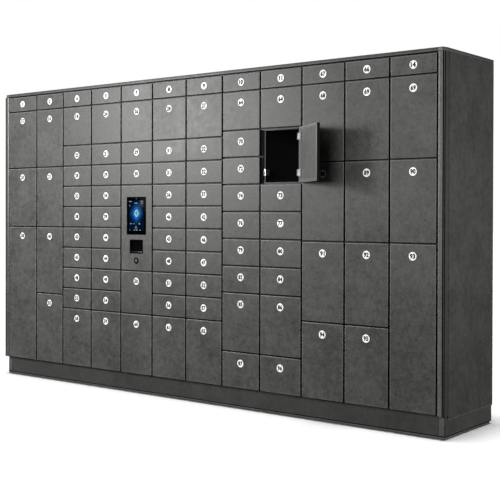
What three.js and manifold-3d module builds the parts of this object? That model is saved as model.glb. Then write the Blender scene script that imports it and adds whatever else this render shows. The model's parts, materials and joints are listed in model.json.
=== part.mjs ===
// Electronic locker bank: twelve columns of steel compartments on a plinth, ninety-two hinged doors,
// and one service panel carrying a touch display, a code reader and a cam lock.
// Millimetres, +Z up, origin on the floor at the centre of the footprint, fronts facing -Y.
import * as THREE from "three";
import { mergeVertices } from "three/addons/utils/BufferGeometryUtils.js";
import Module from "manifold-3d";

const wasm = await Module();
wasm.setup();

// Overall sizes
const DEPTH = 610;
const END_STILE_WIDTH = 40;
const END_STILE_RETURN = 55;
const PLINTH_HEIGHT = 130;
const DOOR_AREA_HEIGHT = 1955;
const CAP_HEIGHT = 21;
const TOTAL_HEIGHT = 2110;
const COLUMN_WIDTHS = [320, 290, 295, 295, 295, 300, 305, 300, 310, 300, 295, 295];

// Doors
const DOOR_THICKNESS = 20;
const DOOR_GAP = 6;
const DOOR_BEVEL = 1.5;
const SKIN = 1.5;
const WEB_THICKNESS = 2;
const OPEN_DOOR_ANGLE = 145;
const CATCH_SLOT = { inset: 9, width: 10, height: 40 };

// Carcass
const SHEET = 1.5;
const JAMB = 10;
const CARCASS_SETBACK = 21;
const BACK_CLEARANCE = 0;
const FIT = 0.3;

// Plinth
const PLINTH_SETBACK = 31;
const PLINTH_SIDE_INSET = 4;
const FOOT_RAIL_HEIGHT = 15;
const FOOT_RAIL_INSET = 5;
const FOOT_RAIL_BACK_INSET = 22;
const BEAM = 40;
const BEAM_SHEET = 3;
const SIDE_PANEL_DROP = 20;

// Corner groove of the end stiles, and the raked face along their inner edge
const CORNER_GROOVE = { start: 2, width: 12, depth: 15 };
const RAKE = { width: 9, depth: 3 };

// Service panel, heights above the bottom of the door area
const DISPLAY = { width: 182, height: 255, bottom: 942, chassis: 38 };
const READER = { width: 124, height: 94, bottom: 815, chassis: 43 };
const LOCK = { height: 767, flangeRadius: 20, barrelRadius: 11, plugRadius: 7, camLength: 56 };

// Derived planes and lines
const FRONT = -DEPTH / 2;
const BACK = DEPTH / 2;
const DOOR_BACK = FRONT + DOOR_THICKNESS;
const FRAME_FRONT = FRONT + CARCASS_SETBACK;
const FRAME_BACK = BACK - BACK_CLEARANCE;
const COLUMNS_WIDTH = COLUMN_WIDTHS.reduce((sum, width) => sum + width, 0);
const LEFT = -COLUMNS_WIDTH / 2;
const OUTER_LEFT = LEFT - END_STILE_WIDTH;
const OUTER_RIGHT = -OUTER_LEFT;
const BODY_TOP = TOTAL_HEIGHT - CAP_HEIGHT;
const CARCASS_TOP = BODY_TOP - FIT;
const COLUMN_LINES = [LEFT];
for (const width of COLUMN_WIDTHS) {
  COLUMN_LINES.push(COLUMN_LINES[COLUMN_LINES.length - 1] + width);
}

// Compartment heights from the top down, with the number each door carries.
// A column is either all hinged doors, or one stack of doors held shut.
const SMALL = 145;
const smallStack = Array(8).fill(SMALL);
const COLUMNS = [
  { heights: [112, 421, 435, 987], numbers: [1, 15, 20, 38] },
  { heights: [112, 421, 435, 485, 502], numbers: [2, 16, 21, 40, 55] },
  { heights: [112, 275, ...smallStack, 408], numbers: [4, 18, 23, 25, 33, 39, 43, 45, 48, 53, 58] },
  { heights: [112, 275, ...smallStack, 408], numbers: [5, 19, 24, 28, 34, 36, 44, 46, 49, 54, 59] },
  { heights: [112, 275, SMALL, SMALL, 580, 290, 408], numbers: [7, 26, 29, 30, "panel", 50, 60] },
  { heights: [112, 275, ...smallStack, 408], numbers: [8, 22, 31, 35, 41, 63, 13, 6, 51, 56, 61] },
  { heights: [112, 275, ...smallStack, 408], numbers: [9, 27, 32, 12, 37, 42, 17, 47, 52, 57, 62] },
  {
    heights: [112, 241, 168, 168, 168, 168, 168, 168, 367, 227],
    numbers: [10, 64, 70, 72, 74, 76, 79, 82, 85, 87],
  },
  { heights: [112, 241, 336, 168, 168, 168, 168, 367, 227], numbers: [11, 65, 71, 73, 77, 80, 83, 86, 96] },
  { heights: [112, 456, 462, 472, 453], numbers: [67, 68, 88, 91, 94] },
  { heights: [112, 456, 462, 472, 453], numbers: [66, 69, 89, 92, 95] },
  { heights: [112, 456, 462, 925], numbers: [14, 75, 90, 93] },
];
const OPEN_DOOR = 71;
const BLOCKED_BY_OPEN_DOOR = [68, 88];
const FIXED_COLUMNS = [1, 2, 3, 5, 6, 7];
const MODULES = [[0, 1], [2, 3], [4, 4], [5, 6], [7, 8], [9, 11]];

// Finishes
function finish(color, roughness, metalness) {
  return new THREE.MeshStandardMaterial({ color, roughness, metalness });
}
const DOOR_PAINT = finish(0x5f5e5c, 0.55, 0.35);
const FRAME_PAINT = finish(0x4a4947, 0.6, 0.35);
const STILE_PAINT = finish(0x7b7a78, 0.5, 0.4);
const INNER_PAINT = finish(0x2a2a2a, 0.7, 0.3);
const BLACK_GLASS = finish(0x0b0d12, 0.15, 0.0);
const BLACK_PLASTIC = finish(0x151515, 0.5, 0.0);
const BRIGHT_STEEL = finish(0xb8b8b6, 0.3, 0.9);
const GALVANISED = finish(0x8d9092, 0.45, 0.8);

const group = new THREE.Group();
group.name = "locker_bank";

// A closed three.js geometry as a solid for booleans.
function solid(geometry) {
  const bare = geometry.clone();
  bare.deleteAttribute("normal");
  bare.deleteAttribute("uv");
  const merged = mergeVertices(bare, 1e-4);
  const triVerts = new Uint32Array(merged.index.array);
  const vertProperties = new Float32Array(merged.attributes.position.array);
  return new wasm.Manifold(new wasm.Mesh({ numProp: 3, vertProperties, triVerts }));
}

function block(x0, x1, y0, y1, z0, z1) {
  const geometry = new THREE.BoxGeometry(x1 - x0, y1 - y0, z1 - z0);
  geometry.translate((x0 + x1) / 2, (y0 + y1) / 2, (z0 + z1) / 2);
  return solid(geometry);
}

// A round bar along Y.
function bar(x, z, radius, y0, y1, sides = 32) {
  const geometry = new THREE.CylinderGeometry(radius, radius, y1 - y0, sides);
  geometry.translate(x, (y0 + y1) / 2, z);
  return solid(geometry);
}

// A rectangular slab facing -Y whose front and back edges are bevelled.
function bevelledSlab(x0, x1, y0, y1, z0, z1, bevel) {
  const outline = new THREE.Shape();
  outline.moveTo(x0 + bevel, z0 + bevel);
  outline.lineTo(x1 - bevel, z0 + bevel);
  outline.lineTo(x1 - bevel, z1 - bevel);
  outline.lineTo(x0 + bevel, z1 - bevel);
  outline.closePath();
  const geometry = new THREE.ExtrudeGeometry(outline, {
    depth: y1 - y0 - 2 * bevel,
    bevelEnabled: true,
    bevelThickness: bevel,
    bevelSize: bevel,
    bevelSegments: 1,
  });
  geometry.rotateX(Math.PI / 2);
  geometry.translate(0, y1 - bevel, 0);
  return solid(geometry);
}

function joined(solids) {
  return solids.reduce((whole, piece) => whole.add(piece));
}

function without(whole, pieces) {
  return pieces.reduce((left, piece) => left.subtract(piece), whole);
}

function node(name, shape, material) {
  const mesh = shape.getMesh();
  const positions = new Float32Array(mesh.numVert * 3);
  for (let i = 0; i < mesh.numVert; i++) {
    positions.set(mesh.vertProperties.subarray(i * mesh.numProp, i * mesh.numProp + 3), i * 3);
  }
  const geometry = new THREE.BufferGeometry();
  geometry.setAttribute("position", new THREE.BufferAttribute(positions, 3));
  geometry.setIndex(new THREE.BufferAttribute(new Uint32Array(mesh.triVerts), 1));
  geometry.computeVertexNormals();
  const made = new THREE.Mesh(geometry, material);
  made.name = name;
  group.add(made);
  return made;
}

// Every compartment: column, number, and the lines between it and its neighbours.
const compartments = [];
COLUMNS.forEach(({ heights, numbers }, column) => {
  let top = PLINTH_HEIGHT + DOOR_AREA_HEIGHT;
  heights.forEach((height, i) => {
    const bottom = Math.max(top - height, PLINTH_HEIGHT);
    compartments.push({
      column,
      number: numbers[i],
      left: COLUMN_LINES[column],
      right: COLUMN_LINES[column + 1],
      bottom: i === heights.length - 1 ? PLINTH_HEIGHT : bottom,
      top,
    });
    top = bottom;
  });
});
const doorName = (number) => `door_${String(number).padStart(2, "0")}`;

// The leaf's edges, half a gap inside its compartment's lines.
function leafOf(c) {
  const half = DOOR_GAP / 2;
  return { x0: c.left + half, x1: c.right - half, z0: c.bottom + half, z1: c.top - half };
}

// A folded double-skinned door leaf, hollow, with a slot for the catch at its free edge.
function doorLeaf(c) {
  const { x0, x1, z0, z1 } = leafOf(c);
  const middle = (z0 + z1) / 2;
  const shell = bevelledSlab(x0, x1, FRONT, DOOR_BACK, z0, z1, DOOR_BEVEL);
  const hollow = block(x0 + SKIN, x1 - SKIN, FRONT + SKIN, DOOR_BACK - SKIN, z0 + SKIN, z1 - SKIN);
  const slotLeft = x0 + CATCH_SLOT.inset;
  const slot = block(
    slotLeft,
    slotLeft + CATCH_SLOT.width,
    DOOR_BACK - SKIN - 1,
    DOOR_BACK + 1,
    middle - CATCH_SLOT.height / 2,
    middle + CATCH_SLOT.height / 2,
  );
  return without(shell, [hollow, slot]);
}

// Neighbouring leaves of one stack are tied by a narrow web deep in the gap between them.
function doorStack(members) {
  const pieces = members.map(doorLeaf);
  for (let i = 0; i + 1 < members.length; i++) {
    const { x0, x1, z0 } = leafOf(members[i]);
    const web = block(
      x0 + JAMB,
      x1 - JAMB,
      DOOR_BACK - WEB_THICKNESS,
      DOOR_BACK,
      z0 - DOOR_GAP - SKIN,
      z0 + SKIN,
    );
    pieces.push(web);
  }
  return joined(pieces);
}

// Carcass modules: a folded steel box per pair or group of columns, one cavity per compartment.
MODULES.forEach(([first, last], index) => {
  const x0 = COLUMN_LINES[first] + FIT;
  const x1 = COLUMN_LINES[last + 1] - FIT;
  const body = block(x0, x1, FRAME_FRONT, FRAME_BACK, PLINTH_HEIGHT, CARCASS_TOP);
  const hollows = [];
  for (const c of compartments.filter((each) => each.column >= first && each.column <= last)) {
    const left = c.column === first ? x0 + SHEET : c.left + SHEET / 2;
    const right = c.column === last ? x1 - SHEET : c.right - SHEET / 2;
    const bottom = c.bottom + (c.bottom === PLINTH_HEIGHT ? SHEET : SHEET / 2);
    const top = c.top - SHEET / 2;
    hollows.push(block(left, right, FRAME_FRONT + SHEET, FRAME_BACK - SHEET, bottom, top));
    hollows.push(
      block(c.left + JAMB, c.right - JAMB, FRAME_FRONT - 1, FRAME_FRONT + 5, c.bottom + JAMB, c.top - JAMB),
    );
  }
  node(`carcass_module_${index + 1}`, without(body, hollows), FRAME_PAINT);
});

// Hinged doors. The one standing open is turned about its hinge line, at the right of its column.
for (const c of compartments) {
  if (c.number === "panel" || FIXED_COLUMNS.includes(c.column)) continue;
  if (BLOCKED_BY_OPEN_DOOR.includes(c.number)) continue;
  const leaf = doorLeaf(c);
  if (c.number !== OPEN_DOOR) {
    node(doorName(c.number), leaf, DOOR_PAINT);
    continue;
  }
  const turn = (shape) =>
    shape.translate([-c.right, -FRONT, 0]).rotate([0, 0, OPEN_DOOR_ANGLE]).translate([c.right, FRONT, 0]);
  node(doorName(c.number), turn(leaf), DOOR_PAINT);
  const hingeRight = c.right - JAMB - 1;
  const hingeBack = DOOR_BACK + 13;
  const hingeFront = DOOR_BACK + FIT;
  const hinges = [
    { name: "upper", z0: c.top - 84, z1: c.top - 38 },
    { name: "lower", z0: c.bottom + 38, z1: c.bottom + 84 },
  ];
  for (const { name, z0, z1 } of hinges) {
    const plate = block(hingeRight - 44, hingeRight, hingeFront, hingeFront + 4, z0, z1);
    const knuckle = block(hingeRight - 9, hingeRight, hingeFront, hingeBack, z0 + 4, z1 - 4);
    node(`hinge_71_${name}`, turn(plate.add(knuckle)), BRIGHT_STEEL);
  }
  const latchLeft = c.left + SHEET / 2 + FIT;
  const latchFront = FRAME_FRONT + SHEET + FIT;
  const latchMiddle = c.bottom + 72;
  const latchBlock = (x0, x1, y0, y1, half) => {
    const upright = [latchMiddle - half, latchMiddle + half];
    return block(latchLeft + x0, latchLeft + x1, latchFront + y0, latchFront + y1, ...upright);
  };
  const latch = latchBlock(0, 24, 0, 42, 20);
  const mouth = latchBlock(13, 20, -1, 14, 11);
  node("latch_71", latch.subtract(mouth), BRIGHT_STEEL);
}

// Doors held shut, one stack to a column.
for (const column of FIXED_COLUMNS) {
  const members = compartments.filter((c) => c.column === column);
  node(`door_stack_${String(column + 1).padStart(2, "0")}`, doorStack(members), DOOR_PAINT);
}
const blocked = compartments.filter((c) => BLOCKED_BY_OPEN_DOOR.includes(c.number));
node("door_stack_10", doorStack(blocked), DOOR_PAINT);

// Service panel with its cut-outs, and what it carries.
const panel = compartments.find((c) => c.number === "panel");
const panelX = (panel.left + panel.right) / 2;
const displayBottom = PLINTH_HEIGHT + DISPLAY.bottom;
const readerBottom = PLINTH_HEIGHT + READER.bottom;
const lockHeight = PLINTH_HEIGHT + LOCK.height;
const through = (width, z0, z1) =>
  block(panelX - width / 2 - FIT, panelX + width / 2 + FIT, FRONT - 5, DOOR_BACK + 5, z0 - FIT, z1 + FIT);
const displayTop = displayBottom + DISPLAY.height;
const readerTop = readerBottom + READER.height;
const panelCuts = [
  through(DISPLAY.width, displayBottom, displayTop),
  through(READER.width, readerBottom, readerTop),
  bar(panelX, lockHeight, LOCK.barrelRadius + FIT, FRONT - 5, DOOR_BACK + 5),
];
node("control_panel", without(doorLeaf(panel), panelCuts), DOOR_PAINT);

// A unit set into the panel: bezel level with the front, rim clamped behind the inner skin, chassis behind.
function insetUnit(width, z0, z1, chassisDepth, rim) {
  const half = width / 2;
  const rimFront = DOOR_BACK + FIT;
  const front = FRONT + 0.5;
  return joined([
    block(panelX - half, panelX + half, front, rimFront + 1, z0, z1),
    block(panelX - half - rim, panelX + half + rim, rimFront, rimFront + 2, z0 - rim, z1 + rim),
    block(panelX - half + 6, panelX + half - 6, rimFront + 1, DOOR_BACK + chassisDepth, z0 + 6, z1 - 6),
  ]);
}
const screenMargin = { side: 22.5, top: 22, bottom: 27 };
const screenRecess = block(
  panelX - DISPLAY.width / 2 + screenMargin.side,
  panelX + DISPLAY.width / 2 - screenMargin.side,
  FRONT - 5,
  FRONT + 1.3,
  displayBottom + screenMargin.bottom,
  displayTop - screenMargin.top,
);
const displayUnit = insetUnit(DISPLAY.width, displayBottom, displayTop, DISPLAY.chassis, 8);
node("touch_display", displayUnit.subtract(screenRecess), BLACK_GLASS);
const readerRecess = block(
  panelX - READER.width / 2 + 8,
  panelX + READER.width / 2 - 8,
  FRONT - 5,
  FRONT + 16,
  readerBottom + 8,
  readerTop - 8,
);
const readerUnit = insetUnit(READER.width, readerBottom, readerTop, READER.chassis, 7);
node("code_reader", readerUnit.subtract(readerRecess), BLACK_PLASTIC);

// Cam lock: flanged barrel with a nut behind the panel, and a keyed plug that turns a cam behind it.
const nutBack = DOOR_BACK + 3.6;
const barrel = joined([
  bar(panelX, lockHeight, LOCK.flangeRadius, FRONT - 2.8, FRONT - FIT, 48),
  bar(panelX, lockHeight, LOCK.barrelRadius, FRONT - 1, nutBack),
  bar(panelX, lockHeight, LOCK.barrelRadius + 4, DOOR_BACK + FIT, nutBack, 6),
]);
const plugBore = bar(panelX, lockHeight, LOCK.plugRadius + FIT, FRONT - 5, 0);
node("lock_body", barrel.subtract(plugBore), BLACK_PLASTIC);
const camFront = nutBack + 0.4;
const keySlot = block(panelX - 1.2, panelX + 1.2, FRONT - 5, FRONT + 4, lockHeight - 4.5, lockHeight + 4.5);
const plug = bar(panelX, lockHeight, LOCK.plugRadius, FRONT - 2.2, camFront + 1);
const camBack = camFront + 2.5;
const cam = block(panelX - LOCK.camLength, panelX + 9, camFront, camBack, lockHeight - 9, lockHeight + 9);
node("lock_cylinder", plug.add(cam).subtract(keySlot), BRIGHT_STEEL);

// Controller box on the back wall of the service compartment.
const boxFront = FRAME_BACK - SHEET - 62;
const boxBack = FRAME_BACK - SHEET - FIT;
const boxBottom = panel.bottom + 150;
const boxTop = boxBottom + 300;
const controllerShell = block(panelX - 100, panelX + 100, boxFront, boxBack, boxBottom, boxTop);
const controllerCuts = [
  block(panelX - 98, panelX + 98, boxFront + 2, boxBack - 2, boxBottom + 2, boxTop - 2),
  block(panelX - 60, panelX - 32, boxFront + 18, boxFront + 42, boxBottom - 10, boxBottom + 3),
];
node("controller_box", without(controllerShell, controllerCuts), GALVANISED);

// End stiles: folded channels level with the doors, raked along the inner edge and grooved at the corner.
// The plan outline is for the right-hand end, as distances from the outer corner, raised to full height.
function stilePlan(points, side) {
  const outline = points.map(([x, y]) => new THREE.Vector2(side * (OUTER_RIGHT - x), FRONT + y));
  const shape = new THREE.Shape(side > 0 ? outline : outline.reverse());
  const depth = CARCASS_TOP - PLINTH_HEIGHT;
  const geometry = new THREE.ExtrudeGeometry(shape, { depth, bevelEnabled: false });
  geometry.translate(0, 0, PLINTH_HEIGHT);
  return solid(geometry);
}
const stileWidth = END_STILE_WIDTH - DOOR_GAP / 2;
const grooveEnd = CORNER_GROOVE.start + CORNER_GROOVE.width;
const grooveFloor = CORNER_GROOVE.depth;
const stileOutline = [
  [0, 0],
  [0, CORNER_GROOVE.start],
  [grooveFloor, CORNER_GROOVE.start],
  [grooveFloor, grooveEnd],
  [0, grooveEnd],
  [0, END_STILE_RETURN],
  [SHEET, END_STILE_RETURN],
  [SHEET, grooveEnd + SHEET],
  [grooveFloor + SHEET, grooveEnd + SHEET],
  [grooveFloor + SHEET, CORNER_GROOVE.start],
  [stileWidth - RAKE.width, CORNER_GROOVE.start],
  [stileWidth - SHEET, RAKE.depth + CORNER_GROOVE.start],
  [stileWidth - SHEET, END_STILE_RETURN],
  [stileWidth, END_STILE_RETURN],
  [stileWidth, RAKE.depth],
  [stileWidth - RAKE.width, 0],
];
for (const side of [-1, 1]) {
  const end = side < 0 ? "left" : "right";
  node(`end_stile_${end}`, stilePlan(stileOutline, side), STILE_PAINT);

  // Side cladding: a tray open towards the carcass, its outer sheet lapping the top of the plinth.
  const outerX = side * OUTER_RIGHT;
  const across = (a, b) => [outerX - side * a, outerX - side * b].sort((one, other) => one - other);
  const front = FRONT + END_STILE_RETURN + 1.5;
  const lapBottom = PLINTH_HEIGHT - SIDE_PANEL_DROP;
  const tray = block(...across(0, END_STILE_WIDTH - 1), front, BACK, PLINTH_HEIGHT, CARCASS_TOP);
  const hollow = block(
    ...across(2, END_STILE_WIDTH),
    front + 2,
    BACK - 2,
    PLINTH_HEIGHT + 2,
    CARCASS_TOP - 2,
  );
  const lap = block(...across(0, 2), front, BACK, lapBottom, PLINTH_HEIGHT + 5);
  node(`side_panel_${end}`, tray.subtract(hollow).add(lap), FRAME_PAINT);
}

// Top cap: a shallow lid over the carcass, open below.
const lid = block(OUTER_LEFT, OUTER_RIGHT, FRONT, BACK, BODY_TOP, TOTAL_HEIGHT);
const lidHollow = block(OUTER_LEFT + 2, OUTER_RIGHT - 2, FRONT + 2, BACK - 2, BODY_TOP - 5, TOTAL_HEIGHT - 2);
node("top_cap", lid.subtract(lidHollow), FRAME_PAINT);

// Plinth: foot rails under folded channels, cross beams at every column joint, a fascia across the front.
const baseLeft = OUTER_LEFT + PLINTH_SIDE_INSET;
const baseRight = OUTER_RIGHT - PLINTH_SIDE_INSET;
const baseFront = FRONT + PLINTH_SETBACK + 3;
const baseBack = BACK - 4;
const baseTop = PLINTH_HEIGHT - FIT;
const beams = block(baseLeft, baseRight, baseFront, baseBack, FOOT_RAIL_HEIGHT, baseTop);
const bays = [];
const feet = [];
const joints = [baseLeft, ...COLUMN_LINES.slice(1, -1), baseRight];
joints[6] = 0;
const webBottom = FOOT_RAIL_HEIGHT + BEAM_SHEET;
const webTop = baseTop - BEAM_SHEET;
for (let i = 0; i + 1 < joints.length; i++) {
  const atLeft = i === 0;
  const atRight = i + 2 === joints.length;
  const bay0 = joints[i] + (atLeft ? BEAM : BEAM / 2);
  const bay1 = joints[i + 1] - (atRight ? BEAM : BEAM / 2);
  bays.push(block(bay0, bay1, baseFront + BEAM, baseBack - BEAM, FOOT_RAIL_HEIGHT - 2, baseTop + 2));
  const web0 = joints[i] + (atLeft ? BEAM_SHEET : BEAM_SHEET / 2);
  const web1 = joints[i + 1] - (atRight ? BEAM_SHEET : BEAM_SHEET / 2);
  bays.push(block(web0, web1, baseFront + BEAM_SHEET, baseBack - BEAM_SHEET, webBottom, webTop));
}
const footFront = FRONT + PLINTH_SETBACK + FOOT_RAIL_INSET;
const footBack = baseBack - FOOT_RAIL_BACK_INSET;
const footLeft = baseLeft + FOOT_RAIL_INSET;
const footRight = baseRight - FOOT_RAIL_INSET;
const foot = block(footLeft, footRight, footFront, footBack, 0, FOOT_RAIL_HEIGHT + 1);
for (let i = 0; i + 1 < joints.length; i++) {
  const bay0 = i === 0 ? footLeft + 30 : joints[i] + 15;
  const bay1 = i + 2 === joints.length ? footRight - 30 : joints[i + 1] - 15;
  feet.push(block(bay0, bay1, footFront + 30, footBack - 30, -2, 40));
}
node("base_frame", without(beams, bays).add(without(foot, feet)), INNER_PAINT);

const fasciaBack = FRONT + PLINTH_SETBACK + 3 - FIT;
const fascia = block(baseLeft, baseRight, FRONT + PLINTH_SETBACK, fasciaBack, FOOT_RAIL_HEIGHT, baseTop);
const grooveBack = FRONT + PLINTH_SETBACK + 1.5;
const grooves = [baseLeft + END_STILE_WIDTH, baseRight - END_STILE_WIDTH].map((x) =>
  block(x - 2, x + 2, FRONT + PLINTH_SETBACK - 1, grooveBack, FOOT_RAIL_HEIGHT - 1, baseTop + 1),
);
node("plinth_fascia", without(fascia, grooves), FRAME_PAINT);

export default group;
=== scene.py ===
import json
import math

import bmesh
import bpy
from mathutils import Matrix, Vector

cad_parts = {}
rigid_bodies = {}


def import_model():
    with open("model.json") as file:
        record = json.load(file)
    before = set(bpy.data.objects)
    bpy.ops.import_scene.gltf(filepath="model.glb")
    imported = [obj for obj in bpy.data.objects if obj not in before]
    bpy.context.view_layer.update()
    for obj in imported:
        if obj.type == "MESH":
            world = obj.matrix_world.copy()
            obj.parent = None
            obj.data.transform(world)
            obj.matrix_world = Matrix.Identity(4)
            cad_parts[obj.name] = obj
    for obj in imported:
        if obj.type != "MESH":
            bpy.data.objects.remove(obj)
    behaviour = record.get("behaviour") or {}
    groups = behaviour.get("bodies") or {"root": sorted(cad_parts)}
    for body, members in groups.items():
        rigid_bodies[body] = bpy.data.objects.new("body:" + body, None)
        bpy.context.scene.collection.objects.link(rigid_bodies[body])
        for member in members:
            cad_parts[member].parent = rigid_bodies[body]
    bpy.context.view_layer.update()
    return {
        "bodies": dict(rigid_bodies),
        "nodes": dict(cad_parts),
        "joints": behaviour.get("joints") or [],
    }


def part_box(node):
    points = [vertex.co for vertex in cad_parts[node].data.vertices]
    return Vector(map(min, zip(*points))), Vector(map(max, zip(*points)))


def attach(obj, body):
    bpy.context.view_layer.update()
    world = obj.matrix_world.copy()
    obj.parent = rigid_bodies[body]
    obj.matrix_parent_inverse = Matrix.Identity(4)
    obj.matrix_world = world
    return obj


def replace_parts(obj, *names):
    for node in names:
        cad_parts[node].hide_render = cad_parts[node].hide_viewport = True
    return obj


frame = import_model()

NODES = frame["nodes"]
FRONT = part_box("door_01")[0].y  # plane of the closed doors' faces
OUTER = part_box("end_stile_right")[1].x  # half the cabinet's width
MODULES = range(1, 7)
SIDES = ((-1, "left"), (1, "right"))

# Stacks of closed doors, from the top down: each door's opening in metres, and its number.
SMALL = [0.145] * 8
STACKS = {
    "door_stack_02": ([0.112, 0.421, 0.435, 0.485, 0.502], [2, 16, 21, 40, 55]),
    "door_stack_03": ([0.112, 0.275, *SMALL, 0.408], [4, 18, 23, 25, 33, 39, 43, 45, 48, 53, 58]),
    "door_stack_04": ([0.112, 0.275, *SMALL, 0.408], [5, 19, 24, 28, 34, 36, 44, 46, 49, 54, 59]),
    "door_stack_06": ([0.112, 0.275, *SMALL, 0.408], [8, 22, 31, 35, 41, 63, 13, 6, 51, 56, 61]),
    "door_stack_07": ([0.112, 0.275, *SMALL, 0.408], [9, 27, 32, 12, 37, 42, 17, 47, 52, 57, 62]),
    "door_stack_08": (
        [0.112, 0.241, *[0.168] * 6, 0.367, 0.227],
        [10, 64, 70, 72, 74, 76, 79, 82, 85, 87],
    ),
    "door_stack_10": ([0.456, 0.462], [68, 88]),
}
HALF_GAP = 0.003  # half the gap between two CAD leaves
OPEN_DOOR = 71
OPEN_ANGLE = 145  # degrees, as in the photo
SHADED_DOOR = 88  # its plate lies in the open door's shadow

# What a plate reads in the photo where that isn't the door's own number, which stays unique.
PRINTED = {
    65: 64, 75: 69, 83: 84, 25: 28, 39: 38, 45: 43, 19: 24, 24: 21, 28: 29, 36: 39,
    46: 44, 22: 28, 35: 31, 41: 36, 63: 46, 13: 43, 6: 48, 12: 32, 17: 46,
}  # fmt: skip


# ---------------------------------------------------------------- materials

def new_material(name):
    m = bpy.data.materials.new(name)
    m.use_nodes = True
    tree = m.node_tree
    tree.nodes.clear()
    out = tree.nodes.new("ShaderNodeOutputMaterial")
    bsdf = tree.nodes.new("ShaderNodeBsdfPrincipled")
    tree.links.new(bsdf.outputs["BSDF"], out.inputs["Surface"])
    return m, tree, bsdf


def noise(tree, scale, detail, rough, stretch=(1.0, 1.0, 1.0)):
    coord = tree.nodes.new("ShaderNodeTexCoord")
    mapping = tree.nodes.new("ShaderNodeMapping")
    mapping.inputs["Scale"].default_value = stretch
    tree.links.new(coord.outputs["Object"], mapping.inputs["Vector"])
    n = tree.nodes.new("ShaderNodeTexNoise")
    n.inputs["Scale"].default_value = scale
    n.inputs["Detail"].default_value = detail
    n.inputs["Roughness"].default_value = rough
    tree.links.new(mapping.outputs["Vector"], n.inputs["Vector"])
    return n.outputs["Fac"]


def remap(tree, value, a, b, c, d):
    """Value taken from the range a..b to the range c..d."""
    r = tree.nodes.new("ShaderNodeMapRange")
    r.inputs["From Min"].default_value = a
    r.inputs["From Max"].default_value = b
    r.inputs["To Min"].default_value = c
    r.inputs["To Max"].default_value = d
    tree.links.new(value, r.inputs["Value"])
    return r.outputs["Result"]


def maths(tree, op, a, b):
    n = tree.nodes.new("ShaderNodeMath")
    n.operation = op
    for i, v in enumerate((a, b)):
        if isinstance(v, (int, float)):
            n.inputs[i].default_value = v
        else:
            tree.links.new(v, n.inputs[i])
    return n.outputs[0]


def weighted(tree, first, second):
    """Sum of two (value, weight) pairs."""
    return maths(tree, "ADD", *(maths(tree, "MULTIPLY", v, w) for v, w in (first, second)))


def mix(tree, factor, a, b):
    n = tree.nodes.new("ShaderNodeMix")
    n.data_type = "RGBA"
    tree.links.new(factor, n.inputs["Factor"])
    for key, v in (("A", a), ("B", b)):
        socket = [s for s in n.inputs if s.name == key and s.type == "RGBA"][0]
        if isinstance(v, tuple):
            socket.default_value = (*v, 1.0)
        else:
            tree.links.new(v, socket)
    return [s for s in n.outputs if s.type == "RGBA"][0]


def bump(tree, bsdf, height, distance, strength, below=None):
    b = tree.nodes.new("ShaderNodeBump")
    b.inputs["Distance"].default_value = distance
    b.inputs["Strength"].default_value = strength
    tree.links.new(height, b.inputs["Height"])
    if below is not None:
        tree.links.new(below, b.inputs["Normal"])
    tree.links.new(b.outputs["Normal"], bsdf.inputs["Normal"])
    return b.outputs["Normal"]


def paint(name, dark, light, wear_and_highlight, rough=(0.38, 0.49), deep=()):
    """Mottled sheet-metal paint: cloudy tone, fine orange peel, and a lighter band where the 'edge'
    attribute is up, partly rubbed wear and partly painted highlight.

    Each row of deep, (y0, y1, x0, colour), recolours what lies between y0 and y1 and beyond x0 on
    either side of the middle; the rows paint dark joints, and painted shade in the carcass and on the
    stiles' returns.
    """
    m, tree, bsdf = new_material(name)
    cloud = noise(tree, 5.0, 5.0, 0.62)
    patch = noise(tree, 26.0, 4.0, 0.65)
    speckle = noise(tree, 75.0, 3.0, 0.6)
    grain = noise(tree, 420.0, 2.0, 0.5)
    tone = weighted(tree, (cloud, 0.34), (patch, 0.33))
    tone = maths(tree, "ADD", tone, maths(tree, "MULTIPLY", speckle, 0.33))
    tone = remap(tree, tone, 0.40, 0.60, 0.0, 1.0)
    colour = mix(tree, tone, dark, light)
    # lighter edge band: partly rubbed wear, partly painted highlight where the edges catch the light
    edge = tree.nodes.new("ShaderNodeAttribute")
    edge.attribute_name = "edge"
    patchiness = remap(tree, patch, 0.3, 0.6, 0.55, 1.0)
    colour = mix(tree, maths(tree, "MULTIPLY", edge.outputs["Fac"], patchiness), colour, wear_and_highlight)
    if deep:
        coord = tree.nodes.new("ShaderNodeTexCoord")
        split = tree.nodes.new("ShaderNodeSeparateXYZ")
        tree.links.new(coord.outputs["Object"], split.inputs["Vector"])
        aside = maths(tree, "ABSOLUTE", split.outputs["X"], 0.0)
        for y0, y1, x0, deep_colour in deep:
            behind = maths(tree, "GREATER_THAN", split.outputs["Y"], y0)
            before = maths(tree, "LESS_THAN", split.outputs["Y"], y1)
            inside = maths(tree, "MULTIPLY", behind, before)
            inside = maths(tree, "MULTIPLY", inside, maths(tree, "GREATER_THAN", aside, x0))
            colour = mix(tree, inside, colour, deep_colour)
    tree.links.new(colour, bsdf.inputs["Base Color"])
    blend = weighted(tree, (patch, 0.5), (cloud, 0.5))
    tree.links.new(remap(tree, blend, 0.38, 0.62, *rough), bsdf.inputs["Roughness"])
    bsdf.inputs["Specular IOR Level"].default_value = 0.5
    orange_peel = bump(tree, bsdf, grain, 0.00012, 0.7)
    bump(tree, bsdf, cloud, 0.0016, 0.4, orange_peel)
    return m


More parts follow.
